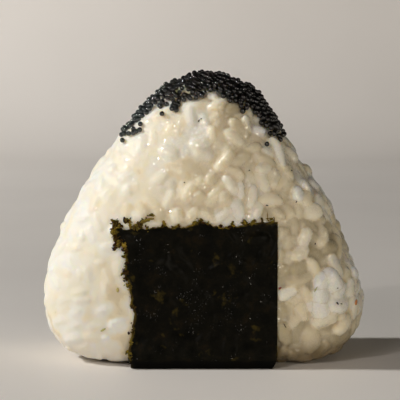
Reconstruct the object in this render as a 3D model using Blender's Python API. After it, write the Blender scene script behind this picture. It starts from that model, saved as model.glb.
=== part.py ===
"""A triangular rice ball with a strip of seaweed round its foot and black fish roe along its top.

Metres, +Z up. The ball stands on the seaweed at z = 0, its broad face turned to -Y, and the origin is
on the floor under its middle.
"""

import math
import random

import bmesh
import bpy
import numpy as np
from mathutils import Matrix, Vector, noise

MM = 0.001

# The rice ball. Its front outline is a smooth curve round the centre, given by how far it reaches every
# 20 degrees, from the +X side and over the top. Below the floor the outline runs on, and the floor cuts it.
CENTRE = np.array([0.0, 0.0, 30.0]) * MM
HALF_DEPTH = 21.0 * MM
OUTLINE_RADII = np.array([35.4, 32.0, 31.5, 35.3, 40.0, 39.4, 34.9, 32.6, 33.5,
                          36.9, 42.6, 44.9, 42.5, 38.5, 38.5, 42.5, 45.3, 42.8]) * MM
# How square the ball is from front to back: 2 is an ellipse, and more is flatter with a tighter edge.
TOP_POWER = 2.1
FOOT_POWER = 3.6
# How tightly the sides turn into the flat underside.
FOOT_EDGE_POWER = 24.0

# The rice, from the outer faces of its grains inwards.
CORE_DEPTH = 1.35 * MM
CORE_FLOOR = 0.8 * MM
CORE_SUBDIVISIONS = 4
CORE_HOLLOW = 1.6 * MM
CORE_HOLLOW_LENGTH = 7.0 * MM
GRAIN_LENGTH = 7.0 * MM
GRAIN_WIDTH = 3.0 * MM
GRAIN_THICKNESS = 2.6 * MM
GRAIN_SIDES = 4
GRAIN_RINGS = 4
GRAIN_SPACING = 5.15 * MM
GRAIN_SINK = 0.7 * MM
GRAIN_LEAN = 14.0
GRAIN_PLACES_TRIED = 6000
GRAIN_TURNS_TRIED = 12
FLOOR_CLEARANCE = 0.25 * MM
CLEARANCE = 0.4 * MM

# The seaweed strip: up the front, flat under the foot and up the back.
NORI_THICKNESS = 0.45 * MM
NORI_DEPTH = 0.45 * MM
NORI_FRONT_TOP = 36.3 * MM
NORI_BACK_TOP = 35.0 * MM
NORI_RIGHT = 17.9 * MM
NORI_LEFT_TOP = 21.0 * MM
NORI_LEFT_FOOT = 17.4 * MM
NORI_SLANT_FOOT = 14.0 * MM
NORI_COLUMNS = 10
NORI_STATIONS = 36
NORI_WAVE = 0.16 * MM
NORI_WAVE_LENGTH = 6.5 * MM
NORI_RAGGED = 0.8 * MM
NORI_RAGGED_LENGTH = 5.0 * MM

# The roe cap: how far it tilts forward and back from the ridge, in degrees, at even steps from its left
# end over the top to its right end.
ROE_LEFT = 128.0
ROE_RIGHT = 52.0
ROE_FRONT = np.array([7.0, 13.0, 13.0, 18.0, 17.0, 15.0, 18.0, 14.5, 13.0, 16.0, 8.0])
ROE_BACK = np.array([3.0, 9.0, 15.0, 14.0, 17.0, 18.0, 15.0, 17.0, 14.0, 10.0, 4.0])
ROE_BEAD = 1.3 * MM
ROE_HEIGHT = 1.35 * MM
ROE_RIM_HEIGHT = 0.25 * MM
ROE_UNDERSIDE = 0.95 * MM
ROE_ROWS = 50
ROE_COLUMNS = 20
ROE_BUMP = 0.45 * MM
# Single beads below the cap: each one's angle round the outline and its tilt towards the front.
ROE_STRAYS = [(131.5, 6.0), (124.0, 17.5), (114.5, 18.5), (95.0, 23.0),
              (67.0, 19.0), (56.0, 21.5), (48.0, 12.0)]

SEED = 7

# How rays are followed to the ball's surface: the farthest it can be, and how often that is halved.
FARTHEST = 90.0 * MM
HALVINGS = 36
SLOPE_STEP = 0.2 * MM


def outline_radius(angle):
    """How far the front outline reaches at an angle in radians."""
    count = len(OUTLINE_RADII)
    place = (angle / (2 * math.pi) * count) % count
    index = np.floor(place).astype(int)
    t = place - index
    before, start, end, after = (OUTLINE_RADII[(index + k) % count] for k in (-1, 0, 1, 2))
    bend = 2 * before - 5 * start + 4 * end - after + t * (3 * (start - end) + after - before)
    return start + 0.5 * t * (end - before + t * bend)


def gauge(points, inset, floor):
    """Below 1 inside the ball's surface pulled in by inset, and above 1 outside it."""
    x, y, z = (points - CENTRE).T
    angle = np.arctan2(z, x)
    towards_foot = (1 - np.sin(angle)) / 2
    power = TOP_POWER * (FOOT_POWER / TOP_POWER) ** towards_foot
    across = np.hypot(x, z) / (outline_radius(angle) - inset)
    forward = np.abs(y) / (HALF_DEPTH - inset)
    body = (across**power + forward**power) ** (1 / power)
    foot = np.maximum(-z, 0) / (CENTRE[2] - floor)
    return (body**FOOT_EDGE_POWER + foot**FOOT_EDGE_POWER) ** (1 / FOOT_EDGE_POWER)


def reach(origins, directions, inset, floor=0.0):
    """Where rays from inside the ball meet its surface pulled in by inset."""
    near = np.zeros(len(directions))
    far = np.full(len(directions), FARTHEST)
    inset = np.broadcast_to(inset, near.shape)
    for _ in range(HALVINGS):
        middle = (near + far) / 2
        outside = gauge(origins + directions * middle[:, None], inset, floor) > 1
        far = np.where(outside, middle, far)
        near = np.where(outside, near, middle)
    return origins + directions * near[:, None]


def outward(points):
    """The unit directions in which the ball's surface faces at the points."""
    steps = np.eye(3) * SLOPE_STEP
    slopes = [gauge(points + step, 0.0, 0.0) - gauge(points - step, 0.0, 0.0) for step in steps]
    normals = np.stack(slopes, axis=-1)
    return normals / np.linalg.norm(normals, axis=1)[:, None]


def direction(angle, tilt):
    """A unit direction from the centre: angle goes round the outline, tilt leans towards the front."""
    angle = np.radians(angle)
    tilt = np.radians(tilt)
    return np.stack([np.cos(tilt) * np.cos(angle), -np.sin(tilt), np.cos(tilt) * np.sin(angle)], axis=-1)


def material(name, colour, roughness):
    made = bpy.data.materials.new(name)
    made.use_nodes = True
    shader = made.node_tree.nodes["Principled BSDF"]
    shader.inputs["Base Color"].default_value = (*colour, 1.0)
    shader.inputs["Roughness"].default_value = roughness
    shader.inputs["Metallic"].default_value = 0.0
    return made


def object_from(bm, name, collection, finish=None):
    """Links a bmesh as an object with outward faces, all triangles."""
    bmesh.ops.triangulate(bm, faces=bm.faces[:])
    bmesh.ops.recalc_face_normals(bm, faces=bm.faces[:])
    mesh = bpy.data.meshes.new(name)
    bm.to_mesh(mesh)
    bm.free()
    if finish:
        mesh.materials.append(finish)
    made = bpy.data.objects.new(name, mesh)
    collection.objects.link(made)
    return made


def roe_tilt(edge, angle):
    """How far the roe's front or back edge tilts from the ridge at an angle round the outline."""
    steps = np.linspace(ROE_LEFT, ROE_RIGHT, len(edge))
    return np.interp(-angle, -steps, edge)


def nori_left(height):
    """Where the strip's left edge lies on the front: it slants in from the top, then runs straight down."""
    slant = np.clip((height - NORI_SLANT_FOOT) / (NORI_FRONT_TOP - NORI_SLANT_FOOT), 0, 1)
    return -(NORI_LEFT_FOOT + (NORI_LEFT_TOP - NORI_LEFT_FOOT) * slant)


def under_roe(point, margin):
    """Whether a point lies under the roe cap or within margin of its edge."""
    x, y, z = point - CENTRE
    slack = math.degrees(margin / outline_radius(math.pi / 2))
    angle = math.degrees(math.atan2(z, x))
    tilt = math.degrees(math.asin(-y / math.sqrt(x * x + y * y + z * z)))
    if not ROE_RIGHT - slack < angle < ROE_LEFT + slack:
        return False
    return -roe_tilt(ROE_BACK, angle) - slack < tilt < roe_tilt(ROE_FRONT, angle) + slack


def under_nori(point, margin):
    """Whether a point lies under the seaweed or within margin of its edge."""
    x, y, z = point
    top = NORI_FRONT_TOP if y < 0 else NORI_BACK_TOP
    left = nori_left(z) if y < 0 else -NORI_LEFT_FOOT
    reach_out = margin + NORI_RAGGED
    return z < top + reach_out and left - reach_out < x < NORI_RIGHT + reach_out


def rice_core(collection):
    """The pressed rice under the outer grains."""
    bm = bmesh.new()
    bmesh.ops.create_icosphere(bm, subdivisions=CORE_SUBDIVISIONS, radius=1.0)
    rays = np.array([v.co.normalized() for v in bm.verts])
    hollows = [abs(noise.noise(Vector(ray * HALF_DEPTH / CORE_HOLLOW_LENGTH))) for ray in rays]
    depths = CORE_DEPTH + CORE_HOLLOW * np.array(hollows)
    places = reach(np.tile(CENTRE, (len(rays), 1)), rays, depths, CORE_FLOOR)
    for vert, place in zip(bm.verts, places):
        vert.co = place
    return object_from(bm, "rice_ball", collection, material("rice", (0.76, 0.70, 0.57), 0.45))


def grain_places(draw):
    """Evenly spread points on the ball with their outward directions, clear of seaweed and roe."""
    spread = np.array([draw.gauss(0, 1) for _ in range(3 * GRAIN_PLACES_TRIED)]).reshape(-1, 3)
    rays = spread / np.linalg.norm(spread, axis=1)[:, None]
    centres = np.tile(CENTRE, (GRAIN_PLACES_TRIED, 1))
    points = reach(centres, rays, GRAIN_THICKNESS / 2)
    normals = outward(points)
    chosen = []
    for point, normal in zip(points, normals):
        if all(np.linalg.norm(point - other) > GRAIN_SPACING for other, _ in chosen):
            if not under_nori(point, 0.0) and not under_roe(point, 0.0):
                chosen.append((point, normal))
    return chosen


def add_grains(collection, draw):
    """Grains lying on the core, each turned at random where it stays clear of its neighbours' pieces."""
    half_width = GRAIN_WIDTH / 2
    for point, normal in grain_places(draw):
        length = GRAIN_LENGTH * draw.uniform(0.85, 1.1)
        sideways = Vector(normal).orthogonal().normalized()
        for _ in range(GRAIN_TURNS_TRIED):
            turn = Matrix.Rotation(draw.uniform(0, 2 * math.pi), 3, Vector(normal))
            lean = math.tan(math.radians(draw.uniform(-GRAIN_LEAN, GRAIN_LEAN)))
            along = (turn @ sideways + Vector(normal) * lean).normalized()
            axis = np.array(along)
            spots = [point + axis * length * share for share in np.linspace(-0.42, 0.42, 5)]
            blocked = any(under_nori(s, half_width) or under_roe(s, half_width + CLEARANCE) for s in spots)
            if not blocked and min(s[2] for s in spots) > half_width + FLOOR_CLEARANCE:
                break
        else:
            continue
        bm = bmesh.new()
        bmesh.ops.create_uvsphere(bm, u_segments=GRAIN_SIDES, v_segments=GRAIN_RINGS, radius=0.5)
        across = Vector(normal).cross(along).normalized()
        upright = along.cross(across)
        width = GRAIN_WIDTH * draw.uniform(0.9, 1.1)
        sizes = Matrix.Diagonal((width, GRAIN_THICKNESS, length))
        frame = Matrix((across, upright, along)).transposed()
        bmesh.ops.transform(bm, matrix=(frame @ sizes).to_4x4(), verts=bm.verts)
        sink = draw.uniform(0.0, GRAIN_SINK)
        bmesh.ops.translate(bm, vec=Vector(point) - Vector(normal) * sink, verts=bm.verts)
        object_from(bm, "grain", collection)


def add_strays(collection):
    """Single beads of roe that lie on the rice just below the cap."""
    for angle, tilt in ROE_STRAYS:
        ray = direction(angle, tilt)[None, :]
        place = reach(CENTRE[None, :], ray, CORE_DEPTH - ROE_BEAD / 3)[0]
        bm = bmesh.new()
        bmesh.ops.create_icosphere(bm, subdivisions=1, radius=ROE_BEAD / 2)
        bmesh.ops.translate(bm, vec=Vector(place), verts=bm.verts)
        object_from(bm, "bead", collection)


def fuse(base, pieces):
    """Joins a collection's objects to the base with one Boolean, and keeps the outer skin alone."""
    union = base.modifiers.new("union", "BOOLEAN")
    union.operation = "UNION"
    union.operand_type = "COLLECTION"
    union.collection = pieces
    union.solver = "MANIFOLD"
    graph = bpy.context.evaluated_depsgraph_get()
    joined = bpy.data.meshes.new_from_object(base.evaluated_get(graph))
    base.modifiers.clear()
    base.data = joined
    for piece in list(pieces.objects):
        bpy.data.objects.remove(piece)
    bpy.data.collections.remove(pieces)
    bm = bmesh.new()
    bm.from_mesh(base.data)
    seen = set()
    skins = []
    for start in bm.verts:
        if start in seen:
            continue
        skin = [start]
        seen.add(start)
        for vert in skin:
            for edge in vert.link_edges:
                other = edge.other_vert(vert)
                if other not in seen:
                    seen.add(other)
                    skin.append(other)
        skins.append(skin)
    skins.sort(key=len)
    for scrap in skins[:-1]:
        bmesh.ops.delete(bm, geom=scrap, context="VERTS")
    bm.to_mesh(base.data)
    bm.free()


def rim(grid):
    """The points round a grid's border, in order."""
    right = [row[-1] for row in grid[1:-1]]
    left = [row[0] for row in grid[1:-1]]
    return grid[0] + right + grid[-1][::-1] + left[::-1]


def shell(outer, inner, step):
    """A closed thin solid between two grids, the inner with one cell for every step outer cells each way.

    The diagonals of a grid's cells change direction from each cell to the next.
    """
    bm = bmesh.new()
    skins = [[[bm.verts.new(point) for point in row] for row in grid] for grid in (outer, inner)]
    for skin in skins:
        for row, (upper, lower) in enumerate(zip(skin, skin[1:])):
            for k in range(len(upper) - 1):
                corners = [upper[k], upper[k + 1], lower[k + 1], lower[k]]
                if (row + k) % 2:
                    corners = corners[1:] + corners[:1]
                bm.faces.new(corners[:3])
                bm.faces.new((corners[0], corners[2], corners[3]))
    outer_rim, inner_rim = rim(skins[0]), rim(skins[1])
    middle = (step + 1) // 2
    for k, start in enumerate(inner_rim):
        end = inner_rim[(k + 1) % len(inner_rim)]
        stretch = [outer_rim[(k * step + i) % len(outer_rim)] for i in range(step + 1)]
        for i in range(step):
            bm.faces.new((start if i < middle else end, stretch[i], stretch[i + 1]))
        bm.faces.new((start, stretch[middle], end))
    return bm


def nori_angles():
    """Stations round the strip from front top to back top: their ray angles, heights and lengths along it."""
    front = math.atan2(HALF_DEPTH - NORI_DEPTH, NORI_FRONT_TOP - CENTRE[2])
    back = 2 * math.pi - math.atan2(HALF_DEPTH - NORI_DEPTH, NORI_BACK_TOP - CENTRE[2])
    fine = np.linspace(front, back, 600)
    rays = np.stack([np.zeros_like(fine), -np.sin(fine), np.cos(fine)], axis=-1)
    path = reach(np.tile(CENTRE, (len(fine), 1)), rays, NORI_DEPTH)
    lengths = np.concatenate([[0], np.cumsum(np.linalg.norm(np.diff(path, axis=0), axis=1))])
    shares = np.linspace(0, lengths[-1], NORI_STATIONS + 1)
    return np.interp(shares, lengths, fine), np.interp(shares, lengths, path[:, 2]), shares


def nori_sheet(collection):
    """One thin sheet of dried seaweed, wavy and ragged at its left side and both ends."""
    angles, heights, shares = nori_angles()
    outer, inner = [], []
    for station, (angle, height, share) in enumerate(zip(angles, heights, shares)):
        on_front = station < NORI_STATIONS / 2
        left = nori_left(height) if on_front else -NORI_LEFT_FOOT
        left += NORI_RAGGED * noise.noise((share / NORI_RAGGED_LENGTH, 3.0, 0.0))
        xs = np.linspace(left, NORI_RIGHT, NORI_COLUMNS + 1)
        ragged = NORI_RAGGED if station in (0, NORI_STATIONS) else 0.0
        wander = [ragged * noise.noise((x / NORI_RAGGED_LENGTH, station, 0.5)) for x in xs]
        turns = angle + np.array(wander) / HALF_DEPTH
        rays = np.stack([np.zeros_like(xs), -np.sin(turns), np.cos(turns)], axis=-1)
        starts = np.stack([xs, np.zeros_like(xs), np.full_like(xs, CENTRE[2])], axis=-1)
        waves = [noise.noise((x / NORI_WAVE_LENGTH, share / NORI_WAVE_LENGTH, 9.0)) for x in xs]
        rise = NORI_WAVE * np.array(waves)
        outer.append(reach(starts, rays, NORI_DEPTH - rise).tolist())
        inner.append(reach(starts, rays, NORI_DEPTH + NORI_THICKNESS - rise, NORI_THICKNESS).tolist())
    return object_from(shell(outer, inner, 1), "nori_sheet", collection,
                       material("nori", (0.012, 0.012, 0.007), 0.4))


def black_roe(collection):
    """The roe as a bumpy cap along the ridge, thick in the middle and one bead deep at its edge."""
    angles = np.linspace(ROE_LEFT, ROE_RIGHT, ROE_ROWS + 1)
    outer, inner = [], []
    for row, angle in enumerate(angles):
        tilts = np.linspace(roe_tilt(ROE_FRONT, angle), -roe_tilt(ROE_BACK, angle), ROE_COLUMNS + 1)
        along = 2 * row / ROE_ROWS - 1
        across = np.linspace(-1, 1, ROE_COLUMNS + 1)
        dome = np.sqrt((1 - along**4) * (1 - across**2).clip(0, 1))
        between_beads = np.where((row + np.arange(ROE_COLUMNS + 1)) % 2, 0.0, ROE_BUMP * (dome > 0))
        height = ROE_RIM_HEIGHT + (ROE_HEIGHT - ROE_RIM_HEIGHT) * dome - between_beads
        rays = direction(angle, tilts)
        starts = np.tile(CENTRE, (len(rays), 1))
        outer.append(reach(starts, rays, -height).tolist())
        if row % 2 == 0:
            inner.append(reach(starts[::2], rays[::2], ROE_UNDERSIDE).tolist())
    return object_from(shell(outer, inner, 2), "black_roe", collection,
                       material("roe", (0.008, 0.008, 0.009), 0.2))


def centre_on_origin(pieces):
    """Moves the pieces together so that the whole stands over the origin."""
    corners = np.array([v.co for piece in pieces for v in piece.data.vertices])
    middle = (corners.min(axis=0) + corners.max(axis=0)) / 2
    for piece in pieces:
        piece.data.transform(Matrix.Translation((-middle[0], -middle[1], 0.0)))


def main():
    for item in list(bpy.data.objects):
        bpy.data.objects.remove(item)
    scene = bpy.context.scene.collection
    draw = random.Random(SEED)
    rice = rice_core(scene)
    grains = bpy.data.collections.new("grains")
    scene.children.link(grains)
    add_grains(grains, draw)
    add_strays(grains)
    fuse(rice, grains)
    pieces = [rice, nori_sheet(scene), black_roe(scene)]
    centre_on_origin(pieces)


main()
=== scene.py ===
"""The looks of a triangular rice ball with a seaweed strip and black roe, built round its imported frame.

Metres, +Z up, the broad front face turned to -Y, as in the frame.
"""

import math

import bmesh
import bpy
import numpy as np
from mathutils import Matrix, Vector, kdtree, noise
from mathutils.bvhtree import BVHTree

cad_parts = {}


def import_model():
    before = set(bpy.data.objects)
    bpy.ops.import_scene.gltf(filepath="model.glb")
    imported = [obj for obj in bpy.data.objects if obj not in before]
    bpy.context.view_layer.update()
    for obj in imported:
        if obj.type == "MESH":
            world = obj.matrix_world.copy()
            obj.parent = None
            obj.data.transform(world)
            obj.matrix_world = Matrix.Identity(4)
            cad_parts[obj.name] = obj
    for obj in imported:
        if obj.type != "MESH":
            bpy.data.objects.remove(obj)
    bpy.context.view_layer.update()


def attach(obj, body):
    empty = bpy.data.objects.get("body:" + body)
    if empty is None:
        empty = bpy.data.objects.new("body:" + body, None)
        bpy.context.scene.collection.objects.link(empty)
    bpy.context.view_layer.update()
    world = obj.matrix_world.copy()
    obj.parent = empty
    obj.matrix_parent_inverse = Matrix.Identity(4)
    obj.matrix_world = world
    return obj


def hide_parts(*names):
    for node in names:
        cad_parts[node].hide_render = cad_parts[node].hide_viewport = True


MM = 0.001

# The ball's envelope, which the outer faces of its grains follow. The front outline is a smooth curve
# round the centre, given by how far it reaches every 20 degrees, from the +X side and over the top.
CENTRE = np.array([0.0, 0.0, 30.0]) * MM
HALF_DEPTH = 20.6 * MM
OUTLINE_RADII = np.array([35.4, 32.7, 31.8, 35.3, 40.0, 39.4, 34.9, 32.3, 33.2,
                          36.5, 42.6, 45.6, 43.4, 40.0, 40.0, 44.6, 46.1, 42.7]) * MM
TOP_POWER = 2.1
FOOT_POWER = 4.4
FOOT_EDGE_POWER = 12.0
# The envelope's lowest point lies this far below the table, which presses the foot flat.
FOOT_SINK = 0.3 * MM
FARTHEST = 90.0 * MM
HALVINGS = 30
SLOPE_STEP = 0.2 * MM

# The rice: sticky pressed grains over a soft core. Pairs of values are for the left side, where it is
# pressed smooth, and for the right side, where its grains stand out.
GRAIN_COUNT = 1000
GRAIN_LENGTH = 6.1 * MM
GRAIN_WIDTH = 3.8 * MM
GRAIN_FLATNESS = 0.70
GRAIN_LEAN = 7.0
GRAIN_DEPTHS = (-0.3 * MM, 1.2 * MM)
SMOOTH_SIDE_AT = -20.0 * MM
ROUGH_SIDE_AT = 14.0 * MM
RIM_ROUGHNESS = 0.5
RIM_HALF_WIDTH = 10.0 * MM
PROUD_SPREAD = (0.12 * MM, 0.45 * MM)
CORE_DEPTHS = (0.25 * MM, 0.85 * MM)
CORE_FLOOR = 0.2 * MM
STICKY_FILMS = (0.42 * MM, 0.20 * MM)
PACKING_STEPS = 60
PACKING_OVERLAP = 0.77
RELIEF_KEPT = (0.7, 0.95)
RELIEF_LEVEL = -0.35 * MM
LUMPY_SKIN = (0.25 * MM, 0.6 * MM)
UNEVEN_SKIN = 0.09 * MM
VOXEL = 0.27 * MM
RICE_TRIANGLES = 190000
SEAM_WIDTH = 0.35 * MM
GRAIN_RINGS = 11
GRAIN_SIDES = 12
GRAIN_START_INSET = 2.2 * MM
LENGTH_SPREAD = 0.15
LENGTH_LIMITS = (0.62, 1.3)
WIDTH_SPREAD = 0.12
WIDTH_LIMITS = (0.75, 1.25)
PROUD_LIMITS = (-2.4, 1.5)
STANDING_GAP = 1.6 * MM
# Grains are left out this deep under the seaweed, and this many degrees inside the roe's patch.
HIDDEN_UNDER_NORI = 4.5 * MM
HIDDEN_UNDER_ROE = 8.0
# How far one packing step moves grains: shares of an overlap, of the way up to the envelope and of a turn.
PACKING_PUSH = 0.42
SETTLE_SHARE = 0.35
SETTLE_LIMIT = 0.25 * MM
TURN_SHARE = 0.8
RELIEF_LIMIT = 1.5 * MM
LUMP_SIZE = 5.5 * MM
LUMP_SINK = 0.25
DEEPEST_VALLEY = 2.0 * MM
# How many packing steps share one list of near pairs.
PAIRS_LAST = 5
# Noise is given in layers of feature size, height and seed.
SKIN_WAVES = [(1.9 * MM, 1.0, 31), (0.9 * MM, 0.5, 32)]

# Patches where the rice is whiter or more glassy than elsewhere: x and height of the middle and reach
# (millimetres), and whiteness. Between them it is of an even whiteness. The glassy patch low on the right is
# partly painted shade, and the whitest patch low on the left partly painted light; the others are the grains'
# own tone.
EVEN_TONE = 0.5
EVEN_WEIGHT = 0.15
CORE_TONE = 0.35
TONE_SPREADS = (0.08, 0.20)
TONE_WAVES = [(7.0 * MM, 0.25, 41)]
TONE_PATCHES = [(-29, 24, 9, 0.86), (-24, 38, 9, 0.82), (-14, 52, 8, 0.88), (-8, 44, 6, 0.4),
                (2, 48, 6, 0.45), (12, 48, 6, 0.55), (-21, 25, 5, 0.85), (10, 39.5, 4, 0.8),
                (31, 18, 6, 0.9), (25, 30, 6, 0.0), (21, 23, 4, 0.1), (24, 7, 8, -0.4), (-27, 7, 6, 1.0),
                (19, 55, 5, 0.6), (27, 41, 6, 0.95), (-5, 55, 6, 0.75)]

# Grains that stand out on the front: x and height of the middle, turn from +X up, length, width and
# rise out of the envelope (millimetres and degrees), and whiteness from 0 for glassy to 1 for white.
STANDING_GRAINS = [
    (18.7, 52.6, 93, 8.4, 2.9, 0.95, 0.8),
    (21.8, 47.7, 60, 4.6, 3.2, 0.6, 0.35),
    (11.2, 59.4, 85, 4.8, 2.9, 0.8, 0.65),
    (8.0, 56.7, -28, 6.2, 3.8, 0.6, 0.55),
    (2.3, 57.3, 85, 4.4, 2.5, 0.4, 0.5),
    (12.6, 53.9, 25, 4.8, 2.8, 0.4, 0.35),
    (5.5, 50.8, 50, 6.4, 3.3, 0.4, 0.45),
    (9.6, 51.3, 35, 6.0, 3.0, 0.3, 0.3),
    (15.4, 48.9, 10, 4.6, 3.3, 0.6, 0.65),
    (7.6, 47.6, 150, 6.0, 3.2, 0.1, 0.4),
    (2.9, 43.4, 52, 7.4, 3.5, 0.6, 0.5),
    (9.4, 43.8, 95, 4.6, 2.4, 0.4, 0.8),
    (12.2, 42.2, 78, 6.0, 2.5, 0.5, 0.75),
    (23.9, 42.4, 80, 4.2, 3.0, 0.5, 1.0),
    (26.3, 44.0, 100, 4.2, 2.8, 0.5, 0.95),
    (16.9, 41.2, 3, 7.0, 3.4, 0.3, 0.55),
    (4.9, 38.0, 35, 5.4, 3.2, 0.5, 0.75),
    (8.7, 38.9, 105, 6.2, 3.6, 0.7, 0.85),
    (13.0, 38.5, 62, 6.0, 3.4, 0.5, 0.75),
    (0.9, 37.5, 152, 5.6, 3.0, 0.4, 0.5),
    (-2.8, 38.0, 40, 5.2, 3.2, 0.4, 0.35),
    (-6.6, 37.4, 100, 4.4, 3.9, 0.6, 0.55),
    (-10.7, 38.3, 70, 4.4, 4.0, 0.6, 0.3),
    (-14.5, 39.2, 125, 4.6, 3.2, 0.35, 0.4),
    (-18.6, 38.6, 80, 4.4, 3.2, 0.3, 0.5),
    (29.6, 31.9, 60, 6.6, 3.8, 0.2, 0.35),
    (25.2, 31.8, 62, 6.0, 3.4, 0.7, 0.65),
    (24.0, 28.4, 40, 5.8, 4.2, 0.6, 0.6),
    (27.1, 24.9, 130, 5.4, 3.4, 0.2, 0.5),
    (31.9, 21.2, -52, 7.6, 6.0, 1.9, 0.95),
    (29.0, 21.2, 70, 5.4, 4.4, 1.5, 0.95),
    (28.9, 17.8, 85, 5.4, 4.4, 1.6, 0.95),
    (28.8, 14.4, 100, 6.0, 4.6, 1.4, 0.9),
    (33.2, 15.8, -8, 7.6, 5.6, 1.4, 0.85),
    (30.2, 11.6, 12, 6.8, 4.6, 1.1, 0.6),
    (33.4, 19.0, 30, 5.6, 4.6, 1.3, 0.85),
    (20.8, 18.4, 28, 5.2, 3.2, 0.7, 0.8),
    (25.2, 18.4, -62, 4.8, 2.8, 0.3, 0.4),
    (24.8, 13.8, -72, 5.2, 3.0, 0.5, 0.4),
    (22.6, 11.2, 55, 4.6, 2.8, 0.3, 0.3),
    (26.4, 6.4, 97, 7.6, 5.0, 0.9, 0.25),
    (37.0, 19.0, 66, 5.2, 3.6, 0.7, 0.8),
]

# The seaweed strip, which runs down the front, under the foot and up the back. Its torn left and top
# edges on the front are given as points of x and height, and its creases as pairs of such points.
NORI_DEPTH = 0.45 * MM
NORI_THICKNESS = 0.2 * MM
NORI_ROOM = NORI_DEPTH + 2 * NORI_THICKNESS
NORI_PRESS = 0.7 * MM
NORI_PRESS_MARGIN = 0.5 * MM
NORI_SWELL_LIMIT = 0.45 * MM
NORI_FRONT_TOP = 36.3 * MM
NORI_BACK_TOP = 35.0 * MM
NORI_RIGHT = 18.3 * MM
NORI_LEFT_FOOT = 17.4 * MM
NORI_FOOT_TAPER = 1.2 * MM
# The strip stands off the rice at the front's foot, up to a fold at this height, and is tucked in under it.
NORI_FOLD_HEIGHT = 2.2 * MM
NORI_FLARE_TOP = 10.0 * MM
NORI_FOLD_DEPTH = 21.2 * MM
NORI_FOLD_TUCK = 0.8 * MM
NORI_COLUMNS = 140
NORI_FRONT_STATIONS = 150
NORI_OTHER_STATIONS = 80
NORI_SIDE_WAVES = [(1.5 * MM, 0.25 * MM, 1), (0.6 * MM, 0.3 * MM, 2)]
NORI_TOP_WAVES = [(1.2 * MM, 0.2 * MM, 3), (0.6 * MM, 0.3 * MM, 4)]
NORI_BACK_WAVES = [(5.0 * MM, 0.9 * MM, 5), (1.0 * MM, 0.3 * MM, 6)]
NORI_TORN_REACH = 5 * MM
NORI_SWELLS = [(5.5 * MM, 0.24 * MM, 7), (1.6 * MM, 0.10 * MM, 9)]
NORI_RIDGE_SIZE = 3.6 * MM
NORI_RIDGE_HEIGHT = 0.22 * MM
NORI_FOLD_WAVES = [(4.0 * MM, 0.35 * MM, 10)]
NORI_LEAST_LIFT = -0.6 * MM
PROBE_HEIGHT = 4 * MM
PROBE_LENGTH = 6 * MM
NORI_LEFT_EDGE = [(-17.4, 0.0), (-18.0, 2.4), (-18.0, 3.8), (-17.5, 7.4), (-16.8, 11.5), (-16.7, 13.3),
                  (-17.4, 17.0), (-17.9, 20.7), (-19.3, 23.1), (-18.5, 25.6), (-18.9, 27.7), (-18.7, 29.2),
                  (-20.3, 30.2), (-21.0, 31.5), (-21.3, 33.4), (-21.2, 36.3)]
NORI_TOP_EDGE = [(-21.3, 34.9), (-20.3, 35.1), (-19.1, 34.5), (-12.7, 34.8), (-9.8, 35.3), (-9.1, 35.9),
                 (-8.2, 35.0), (-7.6, 34.6), (-5.9, 35.2), (-5.0, 34.7), (-2.5, 35.6), (-0.4, 36.5),
                 (2.3, 35.3), (6.2, 34.7), (7.6, 35.7), (8.6, 35.1), (11.5, 36.0), (14.5, 36.4), (18.4, 36.6)]
# Creases: the two ends as x and height, how far they stand out of the sheet, or into it, and their width.
NORI_CREASES = [((-16.4, 31.7), (-1.8, 19.1), 0.45, 1.1), ((-15.2, 30.0), (-9.1, 25.7), -0.35, 0.9),
                ((-7.4, 30.6), (-2.5, 22.5), 0.40, 0.9), ((-5.4, 31.6), (-2.4, 27.6), -0.35, 0.9),
                ((4.7, 35.2), (8.6, 29.4), 0.45, 0.8), ((2.3, 13.4), (3.4, 9.4), 0.40, 0.6),
                ((3.6, 13.6), (5.2, 10.0), -0.3, 0.7), ((-12.8, 7.4), (-14.8, 3.9), 0.35, 0.8),
                ((8.0, 12.0), (13.0, 9.5), -0.3, 0.9)]
# Torn shreds on the strip's edge: x and height of the root, turn from +X up, length, width and hue
# (0 brown, 0.5 olive, 1 yellow).
NORI_SHREDS = [
    (-16.1, 35.0, 38, 4.7, 1.0, 0.7), (-17.5, 34.6, 92, 1.9, 0.7, 0.8), (-18.9, 36.2, 5, 1.9, 0.5, 0.85),
    (-20.4, 34.8, 118, 1.9, 1.5, 0.2), (-20.6, 33.8, 188, 1.4, 1.4, 0.9), (-20.4, 32.6, 215, 1.7, 1.3, 0.3),
    (-20.2, 31.4, 250, 2.7, 1.4, 0.1), (-19.3, 31.2, 276, 2.3, 1.0, 0.9), (-18.4, 29.6, 200, 1.0, 1.0, 0.6),
    (-18.9, 23.4, 170, 0.9, 0.8, 0.6), (-18.9, 27.6, 185, 0.8, 0.7, 0.5),
    (-9.3, 35.0, 80, 1.5, 0.9, 0.8), (-6.0, 34.6, 85, 1.2, 1.0, 0.8), (-0.4, 36.2, 75, 0.9, 0.8, 0.5),
    (7.1, 34.9, 85, 1.5, 0.9, 0.6), (10.1, 35.4, 48, 1.1, 1.5, 0.5), (12.4, 35.9, 118, 0.7, 1.7, 0.7),
    (14.4, 36.1, 82, 0.9, 0.6, 0.4), (15.9, 36.5, 105, 1.7, 0.16, 0.8),
    (-17.2, 16.0, 200, 0.6, 0.9, 0.8), (-18.1, 3.6, 180, 0.7, 0.9, 0.6),
]
SHRED_STEPS = 10
SHRED_THICKNESS = 0.12 * MM
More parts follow.
